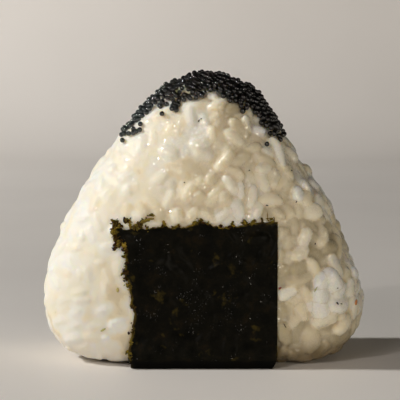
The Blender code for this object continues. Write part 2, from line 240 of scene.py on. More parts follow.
# Crumbs hang in tufts along the torn edges and round the loose flake at the top left: lines through points
# of x and height, with the count of tufts on each, and the crumbs' mean size, its spread and their scatter.
CRUMB_LINES = [(NORI_LEFT_EDGE, 34), (NORI_TOP_EDGE, 30),
               ([(-15.7, 35.3), (-14.3, 36.5), (-12.2, 37.9)], 10),
               ([(-21.3, 36.0), (-21.9, 34.0), (-21.5, 32.4), (-20.8, 29.9), (-19.8, 31.4)], 16),
               ([(-19.4, 36.2), (-17.9, 36.5), (-17.8, 35.0)], 6)]
TUFT_CRUMBS = (1, 8)
CRUMB_SIZE = 0.5 * MM
CRUMB_SPREAD = 0.45
CRUMB_SCATTER = 0.3 * MM
CRUMB_THICKNESS = 0.14 * MM
# Crumbs, beads and specks start from a ball with this many squares along each side of its cube.
BALL_SQUARES = 3

# Where the roe lies: its edges as points of angle round the outline and tilt from the ridge, in degrees.
ROE_LEFT = 128.0
ROE_RIGHT = 52.0
ROE_FRONT = [(128.0, 3.0), (125.2, 7.5), (122.1, 9.5), (119.1, 10.6), (117.1, 11.6), (114.2, 11.1),
             (112.2, 12.6), (111.2, 10.4), (109.3, 12.6), (106.3, 14.9), (103.4, 15.7), (101.4, 18.9),
             (98.8, 18.4), (97.6, 15.2), (95.8, 14.8), (92.9, 16.4), (90.0, 14.7), (88.1, 13.7), (86.2, 12.6),
             (84.6, 10.2), (83.4, 17.6), (80.7, 17.6), (79.5, 15.0), (78.4, 17.2), (75.7, 16.0), (72.9, 17.4),
             (70.9, 15.5), (67.9, 13.9), (65.1, 15.0), (62.3, 15.4), (59.3, 14.9), (57.3, 16.4), (56.0, 15.0),
             (54.6, 10.5), (52.0, 6.0)]
ROE_BACK = [(128.0, 3.0), (120.4, 9.0), (112.8, 15.0), (105.2, 14.0), (97.6, 17.0), (90.0, 18.0),
            (82.4, 15.0), (74.8, 17.0), (67.2, 14.0), (59.6, 10.0), (52.0, 4.0)]
# How far the heap's top stands out of the envelope round the outline: angle, and height in millimetres.
ROE_TOPS = [(128.0, 0.1), (119.0, 0.1), (116.0, 0.3), (107.0, 0.3), (104.5, 0.8), (99.0, 0.7), (94.0, 1.1),
            (83.0, 1.2), (78.0, 0.7), (72.0, 1.6), (68.0, 1.4), (63.0, 0.9), (59.0, 0.6), (56.0, 0.1),
            (52.0, 0.0)]
ROE_WIDEST_TILT = 19.0
ROE_LEVELS = (-0.6, 1.0)
ROE_LOOSENESS = (-0.6 * MM, 0.6 * MM)
ROE_RIM_TOP = 0.3 * MM
ROE_BEAD = 1.28 * MM
ROE_COUNT = 2800
ROE_STEPS = 60
ROE_THINNINGS = (20, 40)
ROE_NEAREST = 0.86 * ROE_BEAD
ROE_BUMPS = [(2.6 * MM, 0.5 * MM, 21)]
# Beads that lie on the rice apart from the rest: angle round the outline and tilt forward, in degrees.
ROE_STRAYS = [(128.0, 14.3), (127.3, 11.4), (125.8, 12.6), (124.2, 14.4), (122.4, 15.6), (120.6, 16.2),
              (118.8, 17.1), (117.4, 15.6), (121.3, 14.1), (107.2, 17.8), (101.0, 18.4), (102.9, 17.6),
              (57.1, 21.6), (52.4, 12.7), (54.0, 11.4)]

# Bits in the rice: x and height, length, width, turn, and hue (0 dark, 0.5 red, 0.75 orange, 1 green).
SPECKS = [
    (-0.9, 60.2, 0.9, 0.35, 60, 0.0), (-0.3, 60.7, 0.5, 0.3, 20, 0.0), (11.4, 48.3, 0.4, 0.3, 0, 0.0),
    (21.9, 47.9, 0.6, 0.4, 0, 0.0), (15.7, 39.9, 0.7, 0.4, 150, 0.0), (33.0, 15.9, 0.8, 0.45, 130, 0.0),
    (34.0, 15.7, 0.6, 0.3, 0, 0.05), (20.1, 10.6, 1.4, 0.22, 120, 0.05), (-4.4, 45.6, 0.4, 0.3, 0, 0.1),
    (23.0, 40.4, 0.5, 0.3, 50, 0.1), (27.6, 30.2, 0.5, 0.35, 70, 0.1), (33.0, 19.6, 0.4, 0.3, 0, 0.1),
    (38.0, 15.2, 1.5, 0.9, 70, 0.75), (18.9, 19.8, 0.8, 0.6, 0, 0.5), (-24.3, 9.4, 1.5, 0.5, 35, 1.0),
    (27.6, 19.6, 1.6, 0.4, 60, 1.0), (-20.6, 19.4, 1.2, 0.7, 90, 0.95), (10.3, 62.6, 1.2, 0.6, 60, 1.0),
]

# The view: level distance to the ball's middle, height, downward pitch, and pixels to a radian.
IMAGE_SIZE = 400
VIEW_DISTANCE = 483.0 * MM
VIEW_HEIGHT = 94.0 * MM
VIEW_PITCH = 6.47
VIEW_FOCAL_PIXELS = 1926.0
VIEW_SIDE = -0.6 * MM

# Lights: name, place, target, size across, watts and colour.
BALL_MIDDLE = (0, 0, 0.03)
LIGHTS = [
    ("key", (-0.88, 0.0, 0.64), BALL_MIDDLE, 0.06, 8.0, (0.985, 0.97, 0.93)),
    ("front", (-0.50, -0.68, 0.48), BALL_MIDDLE, 0.05, 1.1, (1.0, 0.93, 0.88)),
    ("soft", (-0.42, -0.74, 0.50), BALL_MIDDLE, 0.40, 1.1, (1.0, 0.93, 0.88)),
    ("fill", (0.45, -0.84, 0.24), BALL_MIDDLE, 0.25, 1.8, (1.0, 0.90, 0.74)),
    ("backdrop", (-0.20, 0.40, 0.35), (-0.12, 0.80, 0.10), 0.25, 0.25, (1.0, 0.97, 0.94)),
]
WORLD_COLOUR = (1.0, 0.95, 0.9, 1.0)
WORLD_STRENGTH = 0.005

SEED = 11


def outline_radius(angle):
    """How far the front outline reaches at an angle in radians."""
    count = len(OUTLINE_RADII)
    place = (angle / (2 * math.pi) * count) % count
    index = np.floor(place).astype(int)
    t = place - index
    before, start, end, after = (OUTLINE_RADII[(index + k) % count] for k in (-1, 0, 1, 2))
    bend = 2 * before - 5 * start + 4 * end - after + t * (3 * (start - end) + after - before)
    return start + 0.5 * t * (end - before + t * bend)


def gauge(points, inset=0.0, floor=-FOOT_SINK):
    """Below 1 inside the ball's envelope pulled in by inset, and above 1 outside it."""
    x, y, z = (points - CENTRE).T
    angle = np.arctan2(z, x)
    towards_foot = (1 - np.sin(angle)) / 2
    power = TOP_POWER * (FOOT_POWER / TOP_POWER) ** towards_foot
    across = np.hypot(x, z) / (outline_radius(angle) - inset)
    forward = np.abs(y) / (HALF_DEPTH - inset)
    body = (across**power + forward**power) ** (1 / power)
    foot = np.maximum(-z, 0) / (CENTRE[2] - floor)
    return (body**FOOT_EDGE_POWER + foot**FOOT_EDGE_POWER) ** (1 / FOOT_EDGE_POWER)


def reach(origins, directions, inset=0.0, floor=-FOOT_SINK):
    """Where rays from inside the ball meet its envelope pulled in by inset."""
    near = np.zeros(len(directions))
    far = np.full(len(directions), FARTHEST)
    inset = np.broadcast_to(inset, near.shape)
    for _ in range(HALVINGS):
        middle = (near + far) / 2
        outside = gauge(origins + directions * middle[:, None], inset, floor) > 1
        far = np.where(outside, middle, far)
        near = np.where(outside, near, middle)
    return origins + directions * near[:, None]


def height_and_normal(points):
    """How far points stand out of the envelope, and the direction in which it faces there."""
    steps = np.eye(3) * SLOPE_STEP
    slopes = [gauge(points + step) - gauge(points - step) for step in steps]
    slope = np.stack(slopes, axis=-1) / (2 * SLOPE_STEP)
    steepness = np.linalg.norm(slope, axis=1)
    return (gauge(points) - 1) / steepness, slope / steepness[:, None]


def front_point(x, z):
    """The envelope's point on the front at x and height z."""
    start = np.array([[x, 0.0, z]])
    return reach(start, np.array([[0.0, -1.0, 0.0]]))[0]


def direction(angle, tilt):
    """The ray from the centre at an angle round the outline, tilted towards the front, in degrees."""
    angle, tilt = np.radians(angle), np.radians(tilt)
    return np.stack([np.cos(angle) * np.cos(tilt), -np.sin(tilt), np.sin(angle) * np.cos(tilt)], axis=-1)


def angle_and_tilt(points):
    """Angle round the outline and tilt towards the front, in degrees, as seen from the centre."""
    x, y, z = (points - CENTRE).T
    angle = np.degrees(np.arctan2(z, x))
    tilt = np.degrees(np.arctan2(-y, np.hypot(x, z)))
    return angle, tilt


def along_path(points, values, unit=MM):
    """Interpolates points given as pairs, in millimetres or another unit."""
    table = np.array(sorted(points)) * unit
    return np.interp(values, table[:, 0], table[:, 1])


def inside_roe(points):
    """How deep points lie inside the roe's patch, in degrees, below 0 outside it."""
    angle, tilt = angle_and_tilt(points)
    front = along_path(ROE_FRONT, angle, 1.0) - tilt
    back = tilt + along_path(ROE_BACK, angle, 1.0)
    return np.minimum.reduce([front, back, ROE_LEFT - angle, angle - ROE_RIGHT])


def nori_left_edge(heights):
    """Where the seaweed's left edge lies on the front, in x."""
    return along_path([(z, x) for x, z in NORI_LEFT_EDGE], heights)


def inside_nori(points):
    """How deep points lie inside the seaweed's patch, in metres, below 0 outside it."""
    x, y, z = points.T
    top = np.where(y < 0, along_path(NORI_TOP_EDGE, x), NORI_BACK_TOP)
    left = np.where(y < 0, nori_left_edge(z), -NORI_LEFT_FOOT)
    return np.minimum.reduce([top - z, x - left, NORI_RIGHT - x])


def roughness_of_side(points):
    """0 where the rice is pressed smooth, on the left, to 1 where its grains stand out, on the right."""
    share = np.clip((points[:, 0] - SMOOTH_SIDE_AT) / (ROUGH_SIDE_AT - SMOOTH_SIDE_AT), 0, 1)
    rim = np.clip(1 - np.abs(points[:, 1]) / RIM_HALF_WIDTH, 0, 1) * RIM_ROUGHNESS
    return np.maximum(share * share * (3 - 2 * share), rim)


def between(pair, share):
    """The value at a share of the way from the first of a pair to the second."""
    return pair[0] + (pair[1] - pair[0]) * share


def even_points(draw, count, inset):
    """Points spread evenly by area over the envelope pulled in by inset."""
    rays = draw.normal(size=(count * 6, 3))
    rays /= np.linalg.norm(rays, axis=1)[:, None]
    points = reach(np.tile(CENTRE, (len(rays), 1)), rays, inset)
    _, normal = height_and_normal(points)
    distance = np.linalg.norm(points - CENTRE, axis=1)
    area = distance**2 / np.maximum((normal * rays).sum(axis=1), 0.2)
    chosen = draw.choice(len(points), size=count, replace=False, p=area / area.sum())
    return points[chosen], normal[chosen]


def near_pairs(places, owners, radius):
    """Index pairs of places that are nearer than radius and belong to different owners."""
    firsts, seconds = [], []
    chunk = 500
    squares = (places**2).sum(axis=1)
    for start in range(0, len(places), chunk):
        part = places[start:start + chunk]
        gaps = squares[start:start + chunk, None] + squares[None, :] - 2 * part @ places.T
        first, second = np.nonzero(gaps < radius * radius)
        first += start
        keep = (first < second) & (owners[first] != owners[second])
        firsts.append(first[keep])
        seconds.append(second[keep])
    return np.concatenate(firsts), np.concatenate(seconds)


def pushes_apart(places, radii, pairs, overlap, share):
    """Moves that part places whose balls overlap."""
    first, second = pairs
    gap = places[first] - places[second]
    distance = np.linalg.norm(gap, axis=1) + 1e-9
    excess = np.maximum((radii[first] + radii[second]) * overlap - distance, 0)
    push = gap * (excess / distance * share)[:, None]
    moves = np.zeros_like(places)
    for axis in range(3):
        moves[:, axis] += np.bincount(first, push[:, axis], len(places))
        moves[:, axis] -= np.bincount(second, push[:, axis], len(places))
    return moves


class Packing:
    """Long grains, each felt as three balls, pushed apart while they are held under the envelope."""

    SPOTS = np.array([-1.0, 0.0, 1.0])
    GIRTHS = np.array([0.84, 1.0, 0.84])

    def __init__(self, centres, axes, lengths, radii, proud, tones, pinned):
        self.centres = centres
        self.axes = axes
        self.lengths = lengths
        self.radii = radii
        self.proud = proud
        self.tones = tones
        self.pinned = pinned
        self.half = lengths / 2 - radii * 0.95

    def balls(self):
        offsets = self.SPOTS[None, :] * self.half[:, None]
        return self.centres[:, None, :] + self.axes[:, None, :] * offsets[:, :, None]

    def step(self, pairs):
        balls = self.balls().reshape(-1, 3)
        radii = (self.radii[:, None] * self.GIRTHS[None, :]).reshape(-1)
        moves = pushes_apart(balls, radii, pairs, PACKING_OVERLAP, PACKING_PUSH)
        height, normal = height_and_normal(balls)
        sticks_out = height + radii * GRAIN_FLATNESS - np.repeat(self.proud, 3) + room_for_skins(balls)
        moves -= normal * np.maximum(sticks_out, 0)[:, None]
        moves += normal * (np.clip(-sticks_out, 0, SETTLE_LIMIT) * SETTLE_SHARE)[:, None]
        moves = moves.reshape(-1, 3, 3)
        moves[self.pinned] = 0
        self.centres += moves.mean(axis=1)
        turn = (moves[:, 2] - moves[:, 0]) / (2 * np.maximum(self.half, 1 * MM))[:, None]
        self.axes += turn * TURN_SHARE
        self.axes /= np.linalg.norm(self.axes, axis=1)[:, None]

    def run(self, steps):
        owners = np.repeat(np.arange(len(self.centres)), 3)
        widest = 2 * self.radii.max() + 0.8 * MM
        for step in range(steps):
            if step % PAIRS_LAST == 0:
                pairs = near_pairs(self.balls().reshape(-1, 3), owners, widest)
            self.step(pairs)


def room_for_skins(points):
    """How much lower the rice lies under the seaweed and the roe."""
    under_nori = np.clip(inside_nori(points) / (1.0 * MM), 0, 1) * NORI_ROOM
    under_roe = np.clip(inside_roe(points) / 2.0, 0, 1) * 0.9 * MM
    return np.maximum(under_nori, under_roe)


def press_smooth(places):
    """Places of the rice's skin with a lower relief, but soft lumps, where hands have pressed it smooth."""
    height, normal = height_and_normal(places)
    rough = roughness_of_side(places)
    relief = np.clip(height + room_for_skins(places) - RELIEF_LEVEL, -RELIEF_LIMIT, RELIEF_LIMIT)
    lumps = between(LUMPY_SKIN, rough) * (wander(places, LUMP_SIZE, 33) - LUMP_SINK)
    return places + normal * (relief * (between(RELIEF_KEPT, rough) - 1) + lumps)[:, None]


def press_under_nori(places):
    """Places of the rice's skin, pushed down where they would come through the seaweed."""
    inside = np.clip((inside_nori(places) + NORI_PRESS_MARGIN) / NORI_PRESS_MARGIN, 0, 1)
    height, normal = height_and_normal(places)
    excess = np.maximum(height + NORI_PRESS, 0) * inside
    return places - normal * excess[:, None]


def standing_grains():
    """Centres, axes, sizes and whiteness of the grains that stand out on the front."""
    table = np.array(STANDING_GRAINS)
    x, z, turns, lengths, widths, rises, tones = table.T
    surface = np.array([front_point(a * MM, b * MM) for a, b in zip(x, z)])
    _, normals = height_and_normal(surface)
    radii = widths / 2 * MM
    centres = surface + normals * (rises * MM - radii * GRAIN_FLATNESS)[:, None]
    turns = np.radians(turns)
    axes = np.stack([np.cos(turns), np.zeros_like(turns), np.sin(turns)], axis=-1)
    axes -= normals * (axes * normals).sum(axis=1)[:, None]
    axes /= np.linalg.norm(axes, axis=1)[:, None]
    return centres, axes, lengths * MM, radii, rises * MM, tones


def grain_tones(draw, points):
    """Whiteness of grains: alike within a patch on the left, more mixed on the right."""
    weights = np.full(len(points), EVEN_WEIGHT)
    sums = weights * EVEN_TONE
    for x, z, size, tone in TONE_PATCHES:
        away = np.hypot(points[:, 0] - x * MM, points[:, 2] - z * MM) / (size * MM)
        weight = np.exp(-away**2)
        weights = weights + weight
        sums = sums + weight * tone
    single = draw.normal(0, 1, len(points)) * between(TONE_SPREADS, roughness_of_side(points))
    return np.clip(sums / weights + waves(points, TONE_WAVES) + single, 0, 1)


def pack_rice(draw):
    """All grains of the ball, packed."""
    points, normals = even_points(draw, GRAIN_COUNT, GRAIN_START_INSET)
    fixed = standing_grains()
    gaps = np.linalg.norm(points[:, None, :] - fixed[0][None, :, :], axis=2).min(axis=1)
    behind = (points[:, 1] > 0) | (points[:, 2] < 2 * MM)
    hidden = ((inside_nori(points) > HIDDEN_UNDER_NORI) & behind) | (inside_roe(points) > HIDDEN_UNDER_ROE)
    keep = ~hidden & (gaps > STANDING_GAP)
    points, normals = points[keep], normals[keep]
    count = len(points)
    points = points - normals * draw.uniform(*GRAIN_DEPTHS, count)[:, None]
    axes = draw.normal(size=(count, 3))
    axes -= normals * (axes * normals).sum(axis=1)[:, None]
    axes /= np.linalg.norm(axes, axis=1)[:, None]
    lean = np.tan(np.radians(draw.normal(0, GRAIN_LEAN, count)))
    axes += normals * lean[:, None]
    axes /= np.linalg.norm(axes, axis=1)[:, None]
    lengths = GRAIN_LENGTH * draw.normal(1.0, LENGTH_SPREAD, count).clip(*LENGTH_LIMITS)
    radii = GRAIN_WIDTH / 2 * draw.normal(1.0, WIDTH_SPREAD, count).clip(*WIDTH_LIMITS)
    spread = between(PROUD_SPREAD, roughness_of_side(points))
    proud = draw.normal(-0.3, 1.0, count).clip(*PROUD_LIMITS) * spread
    tones = grain_tones(draw, points)
    free = (points, axes, lengths, radii, proud, tones)
    joined = [np.concatenate([a, b]) for a, b in zip(free, fixed)]
    pinned = np.arange(len(joined[0])) >= count
    packing = Packing(*joined, pinned)
    packing.run(PACKING_STEPS)
    return packing


def tube_faces(rings, sides):
    """Faces of a closed tube of rings with a point at each end, listed last."""
    faces = []
    for ring in range(rings - 1):
        for side in range(sides):
            after = (side + 1) % sides
            faces.append((ring * sides + side, ring * sides + after,
                          (ring + 1) * sides + after, (ring + 1) * sides + side))
    head, tail, last = rings * sides, rings * sides + 1, (rings - 1) * sides
    for side in range(sides):
        after = (side + 1) % sides
        faces.append((head, after, side))
        faces.append((tail, last + side, last + after))
    return faces


def grain_points(draw, centre, axis, facing, length, radius, film):
    """One grain's points: pressed flat towards its facing, bent, blunter at one end, in a film."""
    t = np.sin(np.linspace(-1, 1, GRAIN_RINGS + 2)[1:-1] * math.pi / 2)
    around = np.linspace(0, 2 * math.pi, GRAIN_SIDES, endpoint=False)
    taper = draw.uniform(-0.16, 0.16)
    blunt = draw.uniform(2.0, 3.0)
    profile = (1 - np.abs(t) ** blunt) ** (1 / 2.1) * (1 + taper * t)
    side = np.cross(axis, facing)
    side /= np.linalg.norm(side)
    up = np.cross(side, axis)
    twist = draw.normal(0, 0.25)
    side, up = side * math.cos(twist) + up * math.sin(twist), up * math.cos(twist) - side * math.sin(twist)
    lump = 1 + 0.06 * np.sin(2 * around[None, :] + draw.uniform(0, 6) + 2.2 * t[:, None])
    across = profile[:, None] * np.cos(around)[None, :] * (radius * lump + film)
    upright = profile[:, None] * np.sin(around)[None, :] * (radius * GRAIN_FLATNESS * lump + film)
    across += (draw.normal(0.0, 0.05) * length * (1 - t**2))[:, None]
    half = length / 2 + film
    along = np.broadcast_to((t * half)[:, None], across.shape)
    spots = centre + axis * along[..., None] + side * across[..., None] + up * upright[..., None]
    return np.concatenate([spots.reshape(-1, 3), [centre - axis * half, centre + axis * half]])


def joined_copies(parts, faces):
    """Points and faces of parts that all have the same faces."""
    size = len(parts[0])
    starts = np.arange(len(parts)) * size
    every = [tuple(start + k for k in face) for start in starts.tolist() for face in faces]
    return np.concatenate(parts), every


def mesh_object(name, vertices, faces):
    mesh = bpy.data.meshes.new(name)
    mesh.from_pydata(np.asarray(vertices).tolist(), [], faces)
    mesh.validate()
    mesh.shade_smooth()
    made = bpy.data.objects.new(name, mesh)
    bpy.context.scene.collection.objects.link(made)
    return made


def applied(piece):
    """Applies a piece's modifiers."""
    graph = bpy.context.evaluated_depsgraph_get()
    mesh = bpy.data.meshes.new_from_object(piece.evaluated_get(graph))
    piece.modifiers.clear()
    piece.data = mesh


def keep_outer_skin(piece):
    """Deletes all but the largest connected skin, as sealed hollows have skins of their own."""
    bm = bmesh.new()
    bm.from_mesh(piece.data)
    seen = set()
    skins = []
    for start in bm.verts:
        if start in seen:
            continue
        skin = [start]
        seen.add(start)
        for vert in skin:
            for edge in vert.link_edges:
                other = edge.other_vert(vert)
                if other not in seen:
                    seen.add(other)
                    skin.append(other)
        skins.append(skin)
    skins.sort(key=len)
    for scrap in skins[:-1]:
        bmesh.ops.delete(bm, geom=scrap, context="VERTS")
    bm.to_mesh(piece.data)
    bm.free()


def vertex_array(mesh, field="co"):
    values = np.empty(len(mesh.vertices) * 3)
    mesh.vertices.foreach_get(field, values)
    return values.reshape(-1, 3)


def set_vertices(mesh, places):
    mesh.vertices.foreach_set("co", places.reshape(-1))
    mesh.update()


def core_mesh():
    """The pressed rice between and under the grains."""
    bm = bmesh.new()
    bmesh.ops.create_icosphere(bm, subdivisions=6, radius=1.0)
    rays = np.array([v.co.normalized() for v in bm.verts])
    faces = [tuple(v.index for v in face.verts) for face in bm.faces]
    bm.free()
    centres = np.tile(CENTRE, (len(rays), 1))
    surface = reach(centres, rays)
    depth = between(CORE_DEPTHS, roughness_of_side(surface)) + room_for_skins(surface) * 0.6
    return reach(centres, rays, depth - film_at(surface), CORE_FLOOR), faces


def film_at(places):
    """How thick the sticky film is that fills the creases between grains."""
    return between(STICKY_FILMS, roughness_of_side(places))


def rice(draw):
    """The rice as one skin: grains and core, stuck together by a thin film."""
    packing = pack_rice(draw)
    facings = height_and_normal(packing.centres)[1]
    films = film_at(packing.centres)
    grains = zip(packing.centres, packing.axes, facings, packing.lengths, packing.radii, films)
    parts = [grain_points(draw, *grain) for grain in grains]
    vertices, faces = joined_copies(parts, tube_faces(GRAIN_RINGS, GRAIN_SIDES))
    core_vertices, core_faces = core_mesh()
    start = len(vertices)
    faces += [tuple(start + k for k in face) for face in core_faces]
    piece = mesh_object("rice", np.concatenate([vertices, core_vertices]), faces)
    remesh = piece.modifiers.new("union", "REMESH")
    remesh.mode = "VOXEL"
    remesh.voxel_size = VOXEL
    remesh.use_smooth_shade = True
    applied(piece)
    places = vertex_array(piece.data)
    places -= vertex_array(piece.data, "normal") * film_at(places)[:, None]
    set_vertices(piece.data, places)
    smooth = piece.modifiers.new("soften", "SMOOTH")
    smooth.factor = 0.5
    smooth.iterations = 2
    applied(piece)
    places = vertex_array(piece.data)
    places += vertex_array(piece.data, "normal") * (UNEVEN_SKIN * waves(places, SKIN_WAVES))[:, None]
    places = press_under_nori(press_smooth(places))
    lowest = np.where(inside_nori(places) > 0, NORI_THICKNESS + 0.05 * MM, 0.0)
    places[:, 2] = np.maximum(places[:, 2], lowest)
    set_vertices(piece.data, places)
    fewer = piece.modifiers.new("fewer", "DECIMATE")
    fewer.ratio = RICE_TRIANGLES / (2 * len(piece.data.polygons))
    applied(piece)
    keep_outer_skin(piece)
    places = vertex_array(piece.data)
    places[:, 2] = np.maximum(places[:, 2], 0.0)
    set_vertices(piece.data, places)
    paint_rice(piece, packing)
    return piece


def paint_rice(piece, packing):
    """Stores for each vertex its grain's whiteness, how deep it lies and how near a seam it is; depth and
    seams set the painted shade in the valleys and along the seams.
    """
    balls = packing.balls()
    tree = kdtree.KDTree(balls.shape[0] * 3)
    for index, spots in enumerate(balls):
        for spot in spots:
            tree.insert(spot, index)
    tree.balance()
    mesh = piece.data
    places = vertex_array(mesh)
    found = np.array([[index for _, index, _ in tree.find_n(co, 7)] for co in places])
    offset = places[:, None, :] - packing.centres[found]
    axes = packing.axes[found]
    share = np.clip((offset * axes).sum(axis=2), -packing.half[found], packing.half[found])
    gaps = np.linalg.norm(offset - axes * share[..., None], axis=2) - packing.radii[found]
    rows = np.arange(len(places))
    nearest = gaps.argmin(axis=1)
    owners = found[rows, nearest]
    first = gaps[rows, nearest]
    second = np.where(found == owners[:, None], np.inf, gaps).min(axis=1)
    tones = np.where(first < 0.3 * MM, packing.tones[owners], CORE_TONE)
    height, _ = height_and_normal(places)
    store(mesh, "tone", smoothed(mesh, tones, 1))
    # Near a seam between grains the rice is painted darker: painted shade in the creases, stronger on the
    # right.
    seam_shade = np.clip(1 - (second - first) / SEAM_WIDTH, 0, 1)
    store(mesh, "seam_shade", seam_shade * between((0.15, 1.0), roughness_of_side(places)))
    store(mesh, "depth", np.clip(-(height + room_for_skins(places)) / DEEPEST_VALLEY, 0, 1))


def smoothed(mesh, values, rounds):
    """Values averaged with their neighbours'."""
    ends = np.empty(len(mesh.edges) * 2, int)
    mesh.edges.foreach_get("vertices", ends)
    first, second = ends.reshape(-1, 2).T
    size = len(values)
    counts = np.bincount(first, minlength=size) + np.bincount(second, minlength=size)
    for _ in range(rounds):
        sums = np.bincount(first, values[second], size) + np.bincount(second, values[first], size)
        values = (values + sums) / (1 + counts)
    return values


def store(mesh, name, values):
    attribute = mesh.attributes.new(name, "FLOAT", "POINT")
    attribute.data.foreach_set("value", np.ascontiguousarray(values, dtype=np.float32))


def wander(places, size, seed):
    """Smooth noise from -1 to 1 with features of a given size, at 2-D or 3-D places in metres."""
    flat = np.atleast_2d(places) / size
    if flat.shape[1] == 2:
        flat = np.column_stack([flat, np.zeros(len(flat))])
    return np.array([noise.noise(spot) for spot in (flat + seed * 7.31).tolist()])


def waves(places, layers):
    """The sum of layers of smooth noise at places."""
    return sum(height * wander(places, size, seed) for size, height, seed in layers)


def waves_along(values, layers):
    """The sum of layers of smooth noise along a line."""
    return waves(np.column_stack([values, values * 0]), layers)


def nori_stations():
    """Stations round the strip from front top to back top: ray angles, heights and lengths along it."""
    front = math.atan2(HALF_DEPTH - NORI_DEPTH, NORI_FRONT_TOP - CENTRE[2])
    back = 2 * math.pi - math.atan2(HALF_DEPTH - NORI_DEPTH, NORI_BACK_TOP - CENTRE[2])
    fine = np.linspace(front, back, 800)
    rays = np.stack([np.zeros_like(fine), -np.sin(fine), np.cos(fine)], axis=-1)
    path = reach(np.tile(CENTRE, (len(fine), 1)), rays, NORI_DEPTH)
    lengths = np.concatenate([[0], np.cumsum(np.linalg.norm(np.diff(path, axis=0), axis=1))])
    foot = lengths[path[:, 2].argmin()]
    shares = np.concatenate([np.linspace(0, foot, NORI_FRONT_STATIONS, endpoint=False),
                             np.linspace(foot, lengths[-1], NORI_OTHER_STATIONS)])
    return np.interp(shares, lengths, fine), np.interp(shares, lengths, path[:, 2]), shares


def crease_height(x, z):
    """How far the sheet's creases stand out of it at places on the front."""
    height = np.zeros_like(x)
    for start, end, rise, width in NORI_CREASES:
        start, end = np.array(start) * MM, np.array(end) * MM
        run = end - start
        share = ((x - start[0]) * run[0] + (z - start[1]) * run[1]) / (run @ run)
        off = np.hypot(x - start[0] - share * run[0], z - start[1] - share * run[1])
        fade = np.clip(4 * share * (1 - share), 0, 1)
        height += rise * MM * fade * np.exp(-(off / (width * MM)) ** 2)
    return height


def nori_sheet(tree):
    """The strip as a thin wavy sheet that drapes over the rice, torn at its left side and both ends."""
    angles, heights, shares = nori_stations()
    torn = waves_along(shares, NORI_SIDE_WAVES)
    left = np.where(angles < math.pi, nori_left_edge(heights), -NORI_LEFT_FOOT) + torn
    right = NORI_RIGHT - NORI_FOOT_TAPER * np.clip(1 - heights / (3 * MM), 0, 1) ** 2
    u = np.linspace(0, 1, NORI_COLUMNS + 1)
    x = left[:, None] + (right - left)[:, None] * u[None, :]
    row_x = x[0]
    dip = along_path(NORI_TOP_EDGE, row_x) - NORI_FRONT_TOP
    dip += waves_along(row_x, NORI_TOP_WAVES)
    back_dip = waves_along(row_x, NORI_BACK_WAVES)
    fade_front = np.clip(1 - shares / NORI_TORN_REACH, 0, 1) ** 2
    fade_back = np.clip(1 - (shares[-1] - shares) / NORI_TORN_REACH, 0, 1) ** 2
    shift = dip[None, :] * fade_front[:, None] - back_dip[None, :] * fade_back[:, None]
    turn = angles[:, None] - shift / HALF_DEPTH
    rays = np.stack([np.zeros_like(turn), -np.sin(turn), np.cos(turn)], axis=-1).reshape(-1, 3)
    flat_x = x.reshape(-1)
    starts = np.column_stack([flat_x, np.zeros_like(flat_x), np.full_like(flat_x, CENTRE[2])])
    base = reach(starts, rays, NORI_DEPTH)
    spread = np.linalg.norm(base - starts, axis=1)
    z = base[:, 2]
    swell = waves(base, NORI_SWELLS)
    swell += NORI_RIDGE_HEIGHT * (0.5 - np.abs(wander(base, NORI_RIDGE_SIZE, 8)) * 2)
    swell += np.where(base[:, 1] < 0, crease_height(flat_x, z), 0)
    lift = rice_under_sheet(tree, starts, rays, spread)
    soft_lift = blurred(lift.reshape(x.shape), 6).reshape(-1)
    swell = np.clip(swell + soft_lift, lift + 0.02 * MM, NORI_SWELL_LIMIT)
    standing = np.clip((z - 0.6 * MM) / (2.5 * MM), 0, 1)
    outer = base + rays * (swell * standing)[:, None]
    outer = fold_foot(outer)
    inner = outer - rays * NORI_THICKNESS
    outer[:, 2] = np.maximum(outer[:, 2], 0.0)
    inner[:, 2] = np.maximum(inner[:, 2], NORI_THICKNESS)
    from_left = flat_x - np.repeat(left, NORI_COLUMNS + 1)
    from_top = np.minimum(shares, shares[-1] - shares)
    edge = np.minimum(from_left, np.repeat(from_top, NORI_COLUMNS + 1))
    from_right = np.repeat(right, NORI_COLUMNS + 1) - flat_x
    fringe = np.exp(-np.maximum(edge, 0) / (0.7 * MM)) + 0.6 * np.exp(-from_right / (0.15 * MM))
    grid = x.shape
    vertices, faces = sheet_solid(outer.reshape(*grid, 3), inner.reshape(*grid, 3))
    return vertices, faces, np.tile(fringe, 2)


def rice_under_sheet(tree, starts, rays, spread):
    """How far the rice lifts the sheet off its base at least."""
    lift = np.full(len(starts), NORI_LEAST_LIFT)
    for k, (start, ray, far) in enumerate(zip(starts, rays, spread)):
        spot, _, _, distance = tree.ray_cast(start + ray * (far + PROBE_HEIGHT), -ray, PROBE_LENGTH)
        if spot is not None:
            lift[k] = PROBE_HEIGHT - distance + NORI_THICKNESS
    return np.clip(lift, NORI_LEAST_LIFT, NORI_SWELL_LIMIT - 0.04 * MM)


def blurred(grid, rounds):
    """A grid of values averaged with their neighbours."""
    for _ in range(rounds):
        padded = np.pad(grid, 1, mode="edge")
        grid = (padded[:-2, 1:-1] + padded[2:, 1:-1] + padded[1:-1, :-2] + padded[1:-1, 2:] + grid) / 5
    return grid


def fold_foot(places):
    """Places of the sheet, drawn forward at the front's foot, where it folds under."""
    x, y, z = places.T
    wavering = waves_along(x, NORI_FOLD_WAVES)
    under = np.clip(1 - z / (NORI_FOLD_HEIGHT + wavering), 0, 1)
    forward = -(NORI_FOLD_DEPTH - NORI_FOLD_TUCK * under) + wavering * 0.5
    near = (y < -0.6 * HALF_DEPTH) & (z > 0.05 * MM)
    share = np.clip((NORI_FLARE_TOP - z) / (NORI_FLARE_TOP - NORI_FOLD_HEIGHT), 0, 1)
    share = np.where(near, share * share * (3 - 2 * share), 0)
    return np.column_stack([x, y + (np.minimum(forward, y) - y) * share, z])


